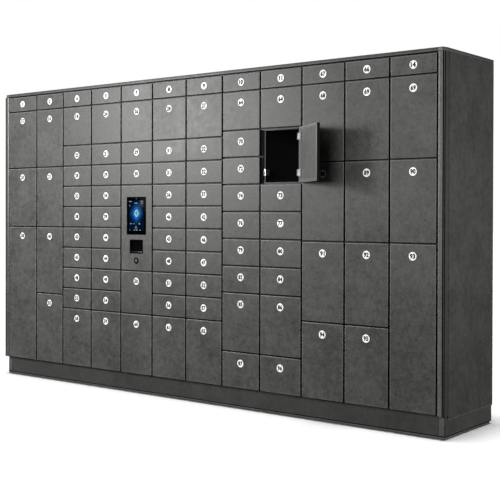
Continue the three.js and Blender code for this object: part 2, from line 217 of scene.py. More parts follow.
def metal(name, colour, rough, brushed=(1.0, 1.0, 1.0), depth=0.00005):
    """Bare metal; brushed is the stretch of its grain, depth the height of it."""
    m, tree, bsdf = new_material(name)
    streak = noise(tree, 260.0, 3.0, 0.6, brushed)
    smudge = noise(tree, 30.0, 3.0, 0.6)
    dull = tuple(c * 0.72 for c in colour)
    tone = mix(tree, remap(tree, smudge, 0.35, 0.65, 0.0, 1.0), colour, dull)
    tree.links.new(tone, bsdf.inputs["Base Color"])
    tree.links.new(remap(tree, streak, 0.3, 0.7, *rough), bsdf.inputs["Roughness"])
    bsdf.inputs["Metallic"].default_value = 1.0
    bump(tree, bsdf, streak, depth, 0.5)
    return m


def plastic(name, dark, light, rough, depth=0.00006, scale=900.0, sheen=0.5):
    """Moulding, film or glass with a fine grain; sheen is its specular level."""
    m, tree, bsdf = new_material(name)
    grain = noise(tree, scale, 2.0, 0.5)
    smudge = noise(tree, 24.0, 3.0, 0.6)
    tone = mix(tree, remap(tree, smudge, 0.3, 0.7, 0.0, 1.0), dark, light)
    tree.links.new(tone, bsdf.inputs["Base Color"])
    tree.links.new(remap(tree, smudge, 0.3, 0.7, *rough), bsdf.inputs["Roughness"])
    bsdf.inputs["Specular IOR Level"].default_value = sheen
    bump(tree, bsdf, grain, depth, 0.6)
    return m


DARK_PAINT = ((0.036, 0.0355, 0.0338), (0.066, 0.0652, 0.0625), (0.13, 0.129, 0.126))
BACK_OF_RETURN = FRONT + 0.0550  # where the stile's return meets the side panel

DOOR = paint("door_paint", (0.053, 0.0522, 0.0500), (0.116, 0.1144, 0.1098), (0.29, 0.288, 0.280))
LINING = paint(
    "lining_paint",
    (0.128, 0.1265, 0.1225),
    (0.196, 0.194, 0.188),
    (0.42, 0.417, 0.408),
    (0.42, 0.52),
)
# folded sides of the leaves, near black: painted shade in the gaps between doors
EDGE = paint("door_edge_painted_shade", *((v, v, v) for v in (0.0025, 0.005, 0.008)), (0.6, 0.75))
FRAME = paint("frame_paint", *DARK_PAINT)
CARCASS = paint(
    "carcass_paint",
    (0.040, 0.0395, 0.038),
    (0.056, 0.0553, 0.053),
    (0.12, 0.119, 0.116),
    # painted shade: near black just behind the doors, where the gaps look in, and dark further into the
    # carcass
    deep=[
        (FRONT + 0.0200, FRONT + 0.0500, -1.0, (0.003, 0.003, 0.003)),
        (FRONT + 0.0500, 0.3036, -1.0, (0.030, 0.030, 0.030)),
    ],
)
# the two end stiles are one part in one paint, but the right is painted lighter and the left darker:
# painted light and shade for how the lamps fall on them
LIT_AND_SHADED_STILES = {}
for end, dark, light, wear_and_highlight in (("left", 0.070, 0.118, 0.20), ("right", 0.112, 0.188, 0.32)):
    LIT_AND_SHADED_STILES[end] = paint(
        f"stile_paint_lit_and_shaded_{end}",
        (dark, dark * 0.988, dark * 0.955),
        (light, light * 0.988, light * 0.955),
        (wear_and_highlight, wear_and_highlight * 0.993, wear_and_highlight * 0.972),
        (0.34, 0.44),
        deep=[
            # the return, turned to the side, is painted darker than the face: painted shade
            (FRONT + 0.0110, FRONT + 0.0528, -1.0, (0.044, 0.0435, 0.042)),
            (FRONT + 0.0528, 0.3060, -1.0, (0.004, 0.004, 0.004)),
            (FRONT + 0.0004, FRONT + 0.0138, OUTER - 0.0156, (0.003, 0.003, 0.003)),
        ],
    )
SIDE = paint(
    "side_paint",
    *DARK_PAINT,
    deep=[(BACK_OF_RETURN, FRONT + 0.0588, OUTER - 0.0030, (0.004, 0.004, 0.004))],
)
POST = paint("post_paint", (0.062, 0.0613, 0.0590), (0.095, 0.0938, 0.0905), (0.15, 0.149, 0.146))
PLINTH = paint("plinth_paint", (0.047, 0.0464, 0.0447), (0.068, 0.0672, 0.0645), (0.12, 0.119, 0.116))
BLACK = plastic(
    "black_moulding",
    (0.0008, 0.0008, 0.0009),
    (0.0016, 0.0016, 0.0018),
    (0.6, 0.75),
    sheen=0.03,
)
GASKET = plastic(
    "black_gasket",
    (0.0015, 0.0015, 0.0015),
    (0.003, 0.003, 0.003),
    (0.75, 0.9),
    sheen=0.06,
)
GLASS = plastic(
    "black_glass",
    (0.0006, 0.0006, 0.0008),
    (0.0010, 0.0010, 0.0014),
    (0.06, 0.10),
    0.000002,
    60.0,
    0.008,
)
PANE = plastic(
    "reader_pane",
    (0.0004, 0.0004, 0.0005),
    (0.0008, 0.0008, 0.0009),
    (0.5, 0.6),
    0.00001,
    60.0,
    0.01,
)
STEEL = metal("bright_steel", (0.86, 0.86, 0.85), (0.34, 0.52), (1.0, 1.0, 0.12))
DARK_CHROME = metal("dark_chrome", (0.090, 0.090, 0.093), (0.16, 0.24), depth=0.000008)
# pale paint of the doorway's folded lip: a painted highlight, brighter than the light on it gives
LIP = paint("doorway_lip_painted_highlight", (0.34, 0.34, 0.335), (0.46, 0.46, 0.45), (0.60, 0.60, 0.59))
# bright paint of the bead under the side panels: a painted highlight
TRIM = paint("trim_bead_painted_highlight", (0.095, 0.094, 0.090), (0.140, 0.138, 0.134), (0.20, 0.198, 0.194))
ZINC = metal("zinc_sheet", (0.46, 0.47, 0.48), (0.34, 0.52))
WHITE = plastic("label_white", (0.84, 0.84, 0.83), (0.90, 0.90, 0.89), (0.38, 0.5))
SHADED_WHITE = plastic("label_white_shaded", (0.50, 0.50, 0.49), (0.56, 0.56, 0.55), (0.38, 0.5))
# the plates are a little brighter than the light on them allows
white_surface = [n for n in WHITE.node_tree.nodes if n.type == "BSDF_PRINCIPLED"][0]
white_surface.inputs["Emission Color"].default_value = (1.0, 1.0, 0.99, 1.0)
white_surface.inputs["Emission Strength"].default_value = 0.42
INK = plastic("label_ink", (0.0015, 0.0015, 0.0017), (0.003, 0.003, 0.0033), (0.55, 0.7), sheen=0.05)
RING = plastic("label_ring", (0.008, 0.008, 0.008), (0.014, 0.014, 0.0135), (0.5, 0.65), sheen=0.15)
PLUG = metal("plug_face", (0.30, 0.30, 0.30), (0.30, 0.42), depth=0.000008)
DOME = plastic(
    "dark_dome",
    (0.004, 0.004, 0.004),
    (0.008, 0.008, 0.0078),
    (0.14, 0.20),
    0.00001,
    60.0,
    0.12,
)


# ---------------------------------------------------------------- mesh helpers

SHARP_ANGLE = math.radians(35)
CORNER_STEPS = 3


def object_of(name, mesh, materials, body):
    """Puts a mesh in the scene as a piece that rides on a body."""
    o = bpy.data.objects.new(name, mesh)
    bpy.context.scene.collection.objects.link(o)
    for m in materials:
        o.data.materials.append(m)
    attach(o, body)
    return o


def mesh_of(bm, name):
    """Turns the working mesh into a finished one, shaded smooth but for its sharp edges."""
    bmesh.ops.recalc_face_normals(bm, faces=bm.faces[:])
    for f in bm.faces:
        f.smooth = True
    for e in bm.edges:
        if len(e.link_faces) == 2 and e.calc_face_angle(0.0) > SHARP_ANGLE:
            e.smooth = False
    mesh = bpy.data.meshes.new(name)
    bm.to_mesh(mesh)
    bm.free()
    return mesh


def ring(x0, x1, z0, z1, inset, radius, y):
    """Corners of a rounded rectangle facing -Y, counter-clockwise seen from the front."""
    a, b, c, d = x0 + inset, x1 - inset, z0 + inset, z1 - inset
    r = max(radius - inset, 0.0004)
    points = []
    corners = ((b - r, c + r, -90), (b - r, d - r, 0), (a + r, d - r, 90), (a + r, c + r, 180))
    for cx, cz, start in corners:
        for i in range(CORNER_STEPS + 1):
            t = math.radians(start + 90.0 * i / CORNER_STEPS)
            points.append(Vector((cx + r * math.cos(t), y, cz + r * math.sin(t))))
    return points


def loft(bm, rings, edges=None, caps=(True, True), material=0):
    """Joins equal-length rings of points into a skin; edges gives each ring's level of the lighter edge
    band, part wear and part painted highlight.
    """
    layer = bm.verts.layers.float.get("edge") or bm.verts.layers.float.new("edge")
    rows = []
    for i, points in enumerate(rings):
        row = [bm.verts.new(p) for p in points]
        for v in row:
            v[layer] = edges[i] if edges else 0.0
        rows.append(row)
    faces = []
    for a, b in zip(rows, rows[1:]):
        for i in range(len(a)):
            j = (i + 1) % len(a)
            faces.append(bm.faces.new((a[i], a[j], b[j], b[i])))
    if caps[0]:
        faces.append(bm.faces.new(list(reversed(rows[0]))))
    if caps[1]:
        faces.append(bm.faces.new(rows[-1]))
    for f in faces:
        f.material_index = material
    return faces


def rounded_block(bm, x0, x1, y0, y1, z0, z1, soft, radius, material=0):
    """A block with its corners rounded in the XZ plane and its front and back edges softened."""
    rings = [
        ring(x0, x1, z0, z1, soft, radius, y0),
        ring(x0, x1, z0, z1, soft * 0.3, radius, y0 + soft * 0.3),
        ring(x0, x1, z0, z1, 0.0, radius, y0 + soft),
        ring(x0, x1, z0, z1, 0.0, radius, y1 - soft),
        ring(x0, x1, z0, z1, soft * 0.3, radius, y1 - soft * 0.3),
        ring(x0, x1, z0, z1, soft, radius, y1),
    ]
    # its edge rings get the lighter edge band, part wear and part painted highlight
    return loft(bm, rings, [0.6, 0.8, 0.6, 0.6, 0.8, 0.6], material=material)


def disc(bm, cx, cz, profile, sides, material=0):
    """A turned piece about a line along Y: profile is (radius, y) pairs."""
    rings = []
    for r, y in profile:
        turn = [2 * math.pi * i / sides for i in range(sides)]
        rings.append([Vector((cx + r * math.cos(t), y, cz + r * math.sin(t))) for t in turn])
    return loft(bm, rings, material=material)


def repaint(node, material, width):
    """Gives a CAD node its material, and rounds its sharp edges by width."""
    materials = NODES[node].data.materials
    materials.clear()
    materials.append(material)
    mod = NODES[node].modifiers.new("soft_edges", "BEVEL")
    mod.width = width
    mod.segments = 2
    mod.limit_method = "ANGLE"
    mod.angle_limit = math.radians(40)
    mod.harden_normals = False


# ---------------------------------------------------------------- doors and labels

# how much smaller a leaf is than its CAD node, on each side and at the top and bottom
LEAF_INSET_X, LEAF_INSET_Z = 0.0020, 0.0007
LEAF_CORNER = 0.0032
# rows of (inset from the leaf's outline, depth behind its face, level of the edge band: wear and painted
# highlight)
LEAF_PROFILE = [
    (0.0085, 0.00000, 0.0),
    (0.0050, 0.00000, 0.4),
    (0.0028, 0.00012, 0.9),
    (0.0012, 0.00060, 1.0),
    (0.0004, 0.00130, 0.5),
    (0.0000, 0.00220, 0.0),
    (0.0000, 0.01840, 0.0),
    (0.0006, 0.01950, 0.6),
    (0.0016, 0.02000, 0.8),
    (0.0150, 0.02000, 0.2),
    (0.0158, 0.01960, 0.5),
    (0.0163, 0.01820, 0.2),
    (0.0240, 0.01820, 0.0),
]
STRIKE_HALF_HEIGHT = 0.027
# rows of (inset, corner radius, depth behind the leaf's face)
STRIKE_PROFILE = [
    (0.0, 0.003, 0.0182),
    (0.0, 0.003, 0.0193),
    (0.0006, 0.003, 0.0198),
    (0.0060, 0.0075, 0.0198),
    (0.0064, 0.0075, 0.0186),
]
# a leaf's material slots, by index: face, strike plate, folded sides (near black: painted shade in the
# gaps between leaves), back
LEAF_MATERIALS = [DOOR, LINING, EDGE, LINING]
STRIKE_SLOT, SIDE_SLOT, BACK_SLOT = 1, 2, 3


def leaf_mesh(name, x0, x1, z0, z1, catch):
    """A door leaf: rolled front edge, folded sides, and a lining pan set into the back."""
    bm = bmesh.new()
    x0, x1 = x0 + LEAF_INSET_X, x1 - LEAF_INSET_X
    z0, z1 = z0 + LEAF_INSET_Z, z1 - LEAF_INSET_Z
    rings = [
        ring(x0, x1, z0, z1, inset, LEAF_CORNER, FRONT + depth) for inset, depth, _ in LEAF_PROFILE
    ]
    faces = loft(bm, rings, [wear_and_highlight_level for *_, wear_and_highlight_level in LEAF_PROFILE])
    # the lower and hinge edges, turned away from the lamps, get less of the band: painted highlight
    layer = bm.verts.layers.float["edge"]
    for v in bm.verts:
        v[layer] *= 0.3 if v.co.z < z0 + 0.008 else 0.6 if v.co.x > x1 - 0.008 else 1.0
    for f in faces:
        depths = [v.co.y - FRONT for v in f.verts]
        nearest, furthest = min(depths), max(depths)
        if nearest > 0.0004 and furthest < 0.0190 and furthest - nearest > 0.0004:
            f.material_index = SIDE_SLOT
        elif nearest > 0.0012:
            f.material_index = BACK_SLOT
    if catch:
        # strike plate of the latch on the lining, by the free edge
        zc = (z0 + z1) / 2
        outline = (x0 + 0.0175, x0 + 0.0375, zc - STRIKE_HALF_HEIGHT, zc + STRIKE_HALF_HEIGHT)
        plate = [ring(*outline, inset, radius, FRONT + y) for inset, radius, y in STRIKE_PROFILE]
        loft(bm, plate, caps=(False, True), material=STRIKE_SLOT)
    return mesh_of(bm, name)


def evaluated(holder):
    """A new mesh of what an object's curve or modifiers make."""
    bpy.context.view_layer.update()
    return bpy.data.meshes.new_from_object(
        holder.evaluated_get(bpy.context.evaluated_depsgraph_get())
    )


DIGITS_WIDTH, DIGITS_HEIGHT = 0.0335, 0.0285  # the width is the most they may take
# turned profiles of a plate, as (radius, distance in front of the door's face)
PLATE_RING = [(0.0258, -0.0006), (0.0258, 0.0002), (0.0254, 0.0004), (0.0238, 0.0004)]
PLATE_FACE = [(0.0238, 0.0), (0.0238, 0.0007), (0.0235, 0.0010), (0.0229, 0.0011), (0.0150, 0.0011)]
PLATE_SIDES = 44
FACE_SLOT, RING_SLOT, INK_SLOT = 0, 1, 2


def digits_mesh(text):
    """The number as a flat raised mesh, centred, facing -Y."""
    curve = bpy.data.curves.new("digits", "FONT")
    curve.body = text
    curve.align_x = "CENTER"
    curve.align_y = "CENTER"
    curve.size = 0.036
    curve.space_character = 1.04
    curve.extrude = 0.00018
    curve.offset = 0.0018
    curve.resolution_u = 2
    holder = bpy.data.objects.new("digits", curve)
    bpy.context.scene.collection.objects.link(holder)
    mesh = evaluated(holder)
    bpy.data.objects.remove(holder)
    bpy.data.curves.remove(curve)
    xs = [v.co.x for v in mesh.vertices]
    ys = [v.co.y for v in mesh.vertices]
    shift = Matrix.Translation((-(min(xs) + max(xs)) / 2, -(min(ys) + max(ys)) / 2, 0.0))
    wide, tall = max(xs) - min(xs), max(ys) - min(ys)
    fit = Matrix.Diagonal((min(DIGITS_WIDTH / wide, 1.0), DIGITS_HEIGHT / tall, 1.0, 1.0))
    mesh.transform(Matrix.Rotation(math.radians(90), 4, "X") @ fit @ shift)
    return mesh


def label_mesh(name, number, x, z):
    """A round number plate: a dark ring, a raised white face and the number."""
    bm = bmesh.new()
    for profile, slot in ((PLATE_RING, RING_SLOT), (PLATE_FACE, FACE_SLOT)):
        disc(bm, x, z, [(r, FRONT - ahead) for r, ahead in profile], PLATE_SIDES, slot)
    digits = digits_mesh(str(number))
    digits.transform(Matrix.Translation((x, FRONT - 0.00125, z)))
    before = len(bm.faces)
    bm.from_mesh(digits)
    bm.faces.ensure_lookup_table()
    for f in bm.faces[before:]:
        f.material_index = INK_SLOT
    bpy.data.meshes.remove(digits)
    return mesh_of(bm, name)


# turns the open door and its plate from shut to where the frame has them
PIVOT = Vector(next(j["pos_m"] for j in frame["joints"] if j["name"] == "door_71_hinge"))
SWING = (
    Matrix.Translation(PIVOT)
    @ Matrix.Rotation(math.radians(OPEN_ANGLE), 4, "Z")
    @ Matrix.Translation(-PIVOT)
)
PLATE_DROP = 0.070  # from the opening's top edge down to the plate's middle, on a tall door


def make_door(number, x0, x1, z0, z1, body, node, catch):
    """A door leaf with its number plate, in place of a CAD node."""
    leaf = leaf_mesh(f"leaf_{number:02d}", x0, x1, z0, z1, catch)
    height = z1 - z0 + 2 * HALF_GAP
    zc = z1 + HALF_GAP - min(height / 2, PLATE_DROP)
    label = label_mesh(f"label_{number:02d}", PRINTED.get(number, number), (x0 + x1) / 2, zc)
    if number == OPEN_DOOR:
        leaf.transform(SWING)
        label.transform(SWING)
    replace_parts(object_of(f"door_leaf_{number:02d}", leaf, LEAF_MATERIALS, body), node)
    white = SHADED_WHITE if number == SHADED_DOOR else WHITE
    object_of(f"number_plate_{number:02d}", label, [white, RING, INK], body)


for node, (heights, numbers) in STACKS.items():
    low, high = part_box(node)
    top = high.z + HALF_GAP
    for height, number in zip(heights, numbers):
        bottom = top - height
        z0 = low.z if number == numbers[-1] else bottom + HALF_GAP
        make_door(number, low.x, high.x, z0, top - HALF_GAP, "cabinet", node, catch=False)
        top = bottom

for body in frame["bodies"]:
    if not body.startswith("leaf_"):
        continue
    number = int(body[5:])
    node = f"door_{number:02d}"
    low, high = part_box(node)
    # the open door's box is turned, so its width comes from the door above it
    left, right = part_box("door_65") if number == OPEN_DOOR else (low, high)
    make_door(number, left.x, right.x, low.z, high.z, body, node, catch=number != OPEN_DOOR)

for node in ("hinge_71_upper", "hinge_71_lower", "latch_71"):
    repaint(node, STEEL, 0.0009)


# ---------------------------------------------------------------- service panel

def cut(mesh, cutters):
    """Takes closed meshes out of a closed mesh."""
    holder = bpy.data.objects.new("cut_work", mesh)
    bpy.context.scene.collection.objects.link(holder)
    made = []
    for cutter in cutters:
        tool = bpy.data.objects.new("cut_tool", cutter)
        bpy.context.scene.collection.objects.link(tool)
        mod = holder.modifiers.new("cut", "BOOLEAN")
        mod.operation = "DIFFERENCE"
        mod.solver = "EXACT"
        mod.object = tool
        made.append(tool)
    result = evaluated(holder)
    for o in made + [holder]:
        bpy.data.objects.remove(o)
    return result


panel_low, panel_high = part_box("control_panel")
panel_x = (panel_low.x + panel_high.x) / 2
display_low, display_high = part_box("touch_display")
reader_low, reader_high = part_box("code_reader")
lock_low, lock_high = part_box("lock_body")
lock_z = (lock_low.z + lock_high.z) / 2
# how far each part's flange runs over the panel round its opening
RIM_DISPLAY, RIM_READER = 0.008, 0.007
OPENING_GAP = 0.0003
THROUGH = (FRONT - 0.01, FRONT + 0.03)  # from in front of the panel to behind it


def opening_mesh(low, high, rim):
    """A cutter for the panel's opening round a part whose flange is rim wide."""
    inset = rim - OPENING_GAP
    outline = (low.x + inset, high.x - inset, low.z + inset, high.z - inset)
    bm = bmesh.new()
    loft(bm, [ring(*outline, 0.0, 0.001, y) for y in THROUGH])
    return mesh_of(bm, "opening")


def barrel_mesh():
    """A cutter for the lock's hole."""
    bm = bmesh.new()
    disc(bm, panel_x, lock_z, [(0.0113, y) for y in THROUGH], 40)
    return mesh_of(bm, "hole")


def on_panel(name, bm, materials):
    return object_of(name, mesh_of(bm, name), materials, "service_panel")


panel_mesh = cut(
    leaf_mesh("panel", panel_low.x, panel_high.x, panel_low.z, panel_high.z, catch=False),
    [
        opening_mesh(display_low, display_high, RIM_DISPLAY),
        opening_mesh(reader_low, reader_high, RIM_READER),
        barrel_mesh(),
    ],
)
for f in panel_mesh.polygons:
    f.use_smooth = False
panel = object_of("service_door", panel_mesh, LEAF_MATERIALS, "service_panel")
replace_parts(panel, "control_panel")

repaint("touch_display", GLASS, 0.0007)
repaint("code_reader", BLACK, 0.0009)
repaint("lock_body", DARK_CHROME, 0.0009)
repaint("lock_cylinder", PLUG, 0.0005)

SCREEN_WIDTH, SCREEN_HEIGHT = 0.137, 0.206
SCREEN_Z = display_low.z + RIM_DISPLAY + 0.027 + SCREEN_HEIGHT / 2
SCREEN_FLOOR = FRONT + 0.0013  # the pocket's floor in the display's glass
PICTURE_EDGE = 0.0004  # gap between the picture and the pocket's wall
GLOW_RISE = 0.014  # from the screen's middle up to the glow's
GLOW_HALF_WIDTH, GLOW_HALF_HEIGHT = 0.064, 0.080
# colours of the glow from its middle outwards
GLOW = [
    (0.00, (0.01, 0.06, 0.16)),
    (0.07, (0.02, 0.12, 0.30)),
    (0.12, (0.60, 0.93, 1.00)),
    (0.26, (0.36, 0.82, 1.00)),
    (0.36, (0.02, 0.26, 0.72)),
    (0.62, (0.003, 0.075, 0.27)),
    (1.00, (0.0005, 0.006, 0.021)),
]


def screen_material():
    """A lit standby picture: deep blue, a pale glow with faint rings, darker to the edges."""
    m, tree, bsdf = new_material("screen_picture")
    coord = tree.nodes.new("ShaderNodeTexCoord")
    mapping = tree.nodes.new("ShaderNodeMapping")
    mapping.vector_type = "TEXTURE"
    mapping.inputs["Location"].default_value = (panel_x, 0.0, SCREEN_Z + GLOW_RISE)
    tree.links.new(coord.outputs["Object"], mapping.inputs["Vector"])
    split = tree.nodes.new("ShaderNodeSeparateXYZ")
    tree.links.new(mapping.outputs["Vector"], split.inputs["Vector"])
    x = maths(tree, "MULTIPLY", split.outputs["X"], 1.0 / GLOW_HALF_WIDTH)
    z = maths(tree, "MULTIPLY", split.outputs["Z"], 1.0 / GLOW_HALF_HEIGHT)
    # the glow's distance is part round and part lozenge
    round_far = maths(tree, "SQRT", weighted(tree, (x, x), (z, z)), 0.0)
    lozenge_far = maths(tree, "ADD", *(maths(tree, "ABSOLUTE", v, 0.0) for v in (x, z)))
    far = weighted(tree, (round_far, 0.55), (lozenge_far, 0.40))
    ramp = tree.nodes.new("ShaderNodeValToRGB")
    stops = ramp.color_ramp.elements
    for stop, (at, colour) in zip((stops[0], stops[1]), (GLOW[0], GLOW[-1])):
        stop.position, stop.color = at, (*colour, 1)
    for at, colour in GLOW[1:-1]:
        stops.new(at).color = (*colour, 1)
    tree.links.new(far, ramp.inputs["Fac"])
    ripple = maths(tree, "SINE", maths(tree, "MULTIPLY", far, 30.0), 0.0)
    web = tree.nodes.new("ShaderNodeTexVoronoi")
    web.feature = "DISTANCE_TO_EDGE"
    web.inputs["Scale"].default_value = 78.0
    tree.links.new(coord.outputs["Object"], web.inputs["Vector"])
    net = remap(tree, web.outputs["Distance"], 0.0, 0.12, 1.15, 0.55)
    shade = maths(tree, "ADD", maths(tree, "MULTIPLY", ripple, 0.36), net)
    shade = remap(tree, shade, 0.0, 1.3, 0.0, 1.0)
    glow = mix(tree, shade, (0.0004, 0.004, 0.016), ramp.outputs["Color"])
    tree.links.new(glow, bsdf.inputs["Emission Color"])
    bsdf.inputs["Emission Strength"].default_value = 1.15
    bsdf.inputs["Base Color"].default_value = (0.0004, 0.0006, 0.0012, 1)
    bsdf.inputs["Roughness"].default_value = 0.1
    bsdf.inputs["Specular IOR Level"].default_value = 0.008
    return m


def lit(name, colour):
    """A mark that glows on the screen."""
    m, tree, bsdf = new_material(name)
    grain = noise(tree, 700.0, 2.0, 0.5)
    dim = tuple(c * 0.7 for c in colour)
    tree.links.new(mix(tree, grain, colour, dim), bsdf.inputs["Emission Color"])
    bsdf.inputs["Emission Strength"].default_value = 0.55
    bsdf.inputs["Base Color"].default_value = (0.01, 0.01, 0.01, 1)
    bsdf.inputs["Specular IOR Level"].default_value = 0.04
    return m


def on_screen(bm, cx, cz, half_w, half_h, front, back, soft, radius, material=0):
    """A flat block on the screen, from its middle; front and back are above the pocket's floor."""
    x0, x1 = panel_x + cx - half_w, panel_x + cx + half_w
    z0, z1 = SCREEN_Z + cz - half_h, SCREEN_Z + cz + half_h
    ys = (SCREEN_FLOOR - front, SCREEN_FLOOR - back)
    rounded_block(bm, x0, x1, *ys, z0, z1, soft, radius, material)


bm = bmesh.new()
half_w, half_h = SCREEN_WIDTH / 2 - PICTURE_EDGE, SCREEN_HEIGHT / 2 - PICTURE_EDGE
on_screen(bm, 0.0, 0.0, half_w, half_h, 0.0006, 0.0001, 0.0001, 0.0006)
on_panel("screen_picture", bm, [screen_material()])

# generic controls drawn on the screen, bars and keys only: middle (x, z), width, height, colour
PALE, AMBER = 0, 1
MARKS = [
    (-0.058, 0.094, 0.024, 0.0055, PALE),
    (0.052, 0.095, 0.014, 0.0050, PALE),
    (0.052, 0.082, 0.012, 0.0050, PALE),
    (-0.004, 0.083, 0.030, 0.0050, PALE),
    (-0.063, 0.066, 0.005, 0.0100, PALE),
    (-0.052, -0.056, 0.020, 0.0050, PALE),
    (-0.024, -0.056, 0.008, 0.0060, PALE),
    (0.028, -0.056, 0.012, 0.0110, AMBER),
    (-0.004, -0.074, 0.010, 0.0050, PALE),
    (-0.004, -0.084, 0.024, 0.0045, PALE),
    (-0.062, -0.099, 0.006, 0.0050, PALE),
    (-0.020, -0.099, 0.010, 0.0060, PALE),
    (0.002, -0.099, 0.018, 0.0060, PALE),
    (0.034, -0.099, 0.012, 0.0050, PALE),
]
bm = bmesh.new()
for cx, cz, width, height, colour in MARKS:
    on_screen(bm, cx, cz, width / 2, height / 2, 0.0009, 0.0007, 0.00005, 0.0015, colour)
lamps = [lit("mark_pale", (0.55, 0.68, 0.85)), lit("mark_amber", (0.75, 0.50, 0.22))]
on_panel("screen_marks", bm, lamps)

# small camera eye above the screen
EYE = [(0.0030, 0.0004), (0.0030, -0.0002), (0.0026, -0.0003), (0.0014, -0.0001)]
bm = bmesh.new()
eye_z = display_high.z - RIM_DISPLAY - 0.011
disc(bm, panel_x, eye_z, [(r, display_low.y + y) for r, y in EYE], 24)
on_panel("camera_eye", bm, [DARK_CHROME])

# code reader window: dark glass leaning back from the lower lip, which catches the light
READER_WALL = 0.0085  # between the opening and the window
bm = bmesh.new()
rx0, rx1 = reader_low.x + RIM_READER + READER_WALL, reader_high.x - RIM_READER - READER_WALL
rz0, rz1 = reader_low.z + RIM_READER + READER_WALL, reader_high.z - RIM_READER - READER_WALL
window = [
    Vector((rx0, FRONT + 0.0040, rz0 + 0.0045)),
    Vector((rx1, FRONT + 0.0040, rz0 + 0.0045)),
    Vector((rx1, FRONT + 0.0145, rz1)),
    Vector((rx0, FRONT + 0.0145, rz1)),
]
back = [p + Vector((0, 0.0010, 0)) for p in window]
loft(bm, [window, back])
on_panel("reader_window", bm, [PANE])
bm = bmesh.new()
lip_y, lip_z = (FRONT + 0.0012, FRONT + 0.0140), (rz0 - 0.0002, rz0 + 0.0040)
rounded_block(bm, rx0, rx1, *lip_y, *lip_z, 0.0012, 0.0014)
on_panel("reader_lip", bm, [DARK_CHROME])

# domed escutcheon round the lock plug, open in the middle: (radius, distance behind the lock's front)
DOME_PROFILE = [
    (0.0232, 0.0022),
    (0.0226, 0.0014),
    (0.0206, 0.0006),
    (0.0176, 0.0001),
    (0.0130, 0.0000),
    (0.0092, 0.0002),
    (0.0078, 0.0010),
    (0.0076, 0.0022),
]
bm = bmesh.new()
rows = [(0.0232, FRONT + 0.0002)] + [(r, lock_low.y + y) for r, y in DOME_PROFILE]
disc(bm, panel_x, lock_z, rows, 56)
lids = [f for f in bm.faces if len(f.verts) > 4]
bmesh.ops.delete(bm, geom=lids, context="FACES_ONLY")
bmesh.ops.bridge_loops(bm, edges=[e for e in bm.edges if e.is_boundary])
on_panel("lock_escutcheon", bm, [DOME])


# ---------------------------------------------------------------- cabinet

for side, end in SIDES:
    repaint(f"side_panel_{end}", SIDE, 0.0010)
    repaint(f"end_stile_{end}", LIT_AND_SHADED_STILES[end], 0.0006)
repaint("plinth_fascia", PLINTH, 0.0010)
repaint("base_frame", PLINTH, 0.0010)
repaint("controller_box", ZINC, 0.0012)

side_low, side_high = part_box("side_panel_right")
stile_low, stile_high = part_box("end_stile_right")
cap_low, cap_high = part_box("top_cap")
base_low, base_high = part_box("base_frame")
fascia_low, fascia_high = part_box("plinth_fascia")


def on_cabinet(name, bm, material):
    return object_of(name, mesh_of(bm, name), [material], "cabinet")


def strip(name, xs, ys, zs, soft, radius, material):
    """One rounded block on the cabinet, between the two values of xs, ys and zs."""
    bm = bmesh.new()
    rounded_block(bm, *sorted(xs), *ys, *zs, soft, radius)
    on_cabinet(name, bm, material)


def inward(side, outer, near, far):
    """The two x values that lie near and far in from an outer face on one side of the cabinet."""
    return outer - side * near, outer - side * far


# black rubber bead over the corner groove of each end stile: plan of (in from the side, behind FRONT)
GASKET_PLAN = [
    (0.0098, -0.0003),
    (0.0022, -0.0003),
    (0.0006, 0.0004),
    (0.0001, 0.0020),
    (0.0001, 0.0135),
    (0.0016, 0.0139),
    (0.0140, 0.0137),
    (0.0144, 0.0030),
    (0.0098, 0.0016),
]
for side, end in SIDES:
    outer = side * stile_high.x
    bm = bmesh.new()
    rings = []
    for z in (stile_low.z + 0.0002, stile_high.z - 0.0002):
        rings.append([Vector((outer - side * dx, FRONT + dy, z)) for dx, dy in GASKET_PLAN])
    loft(bm, rings)
    on_cabinet(f"corner_gasket_{end}", bm, GASKET)
    # dark joint between the stile's return and the side panel
    seam = stile_low.y + 0.0545
    strip(
        f"side_joint_{end}",
        inward(side, outer, 0.0001, 0.0030),
        (seam, seam + 0.0030),
        (stile_low.z + 0.0010, stile_high.z),
        0.0003,
        0.0006,
        GASKET,
    )

# top cap in one section per carcass module: a rolled lid over a recessed black joint, corners cut back
SECTION_GAP = 0.0006  # half the gap between two sections
CUT_X, CUT_Y = 0.0105, 0.034
# rows of (inset, height, level of the edge band: wear and painted highlight), the height above the cap's
# foot or below its top
CAP_FOOT = [
    (0.0040, 0.0, 0.0),
    (0.0040, 0.0014, 0.0),
    (0.0008, 0.0016, 0.6),
    (0.0000, 0.0024, 1.0),
    (0.0000, 0.0110, 0.0),
    (0.0006, 0.0116, 0.0),
    (0.0006, 0.0124, 0.0),
    (0.0000, 0.0130, 0.4),
]
CAP_TOP = [
    (0.0000, 0.0016, 0.2),
    (0.0005, 0.0005, 0.9),
    (0.0016, 0.0, 0.8),
    (0.0120, 0.0, 0.0),
]
CAP_PROFILE = [(inset, cap_low.z + rise, wear_and_highlight_level) for inset, rise, wear_and_highlight_level in CAP_FOOT]
CAP_PROFILE += [(inset, cap_high.z - drop, wear_and_highlight_level) for inset, drop, wear_and_highlight_level in CAP_TOP]
JOINT_TOP = 0.0015  # faces below this height belong to the recessed joint
inner_lines = [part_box(f"carcass_module_{i}")[0].x for i in MODULES[1:]]
section_lines = [cap_low.x, *inner_lines, cap_high.x]


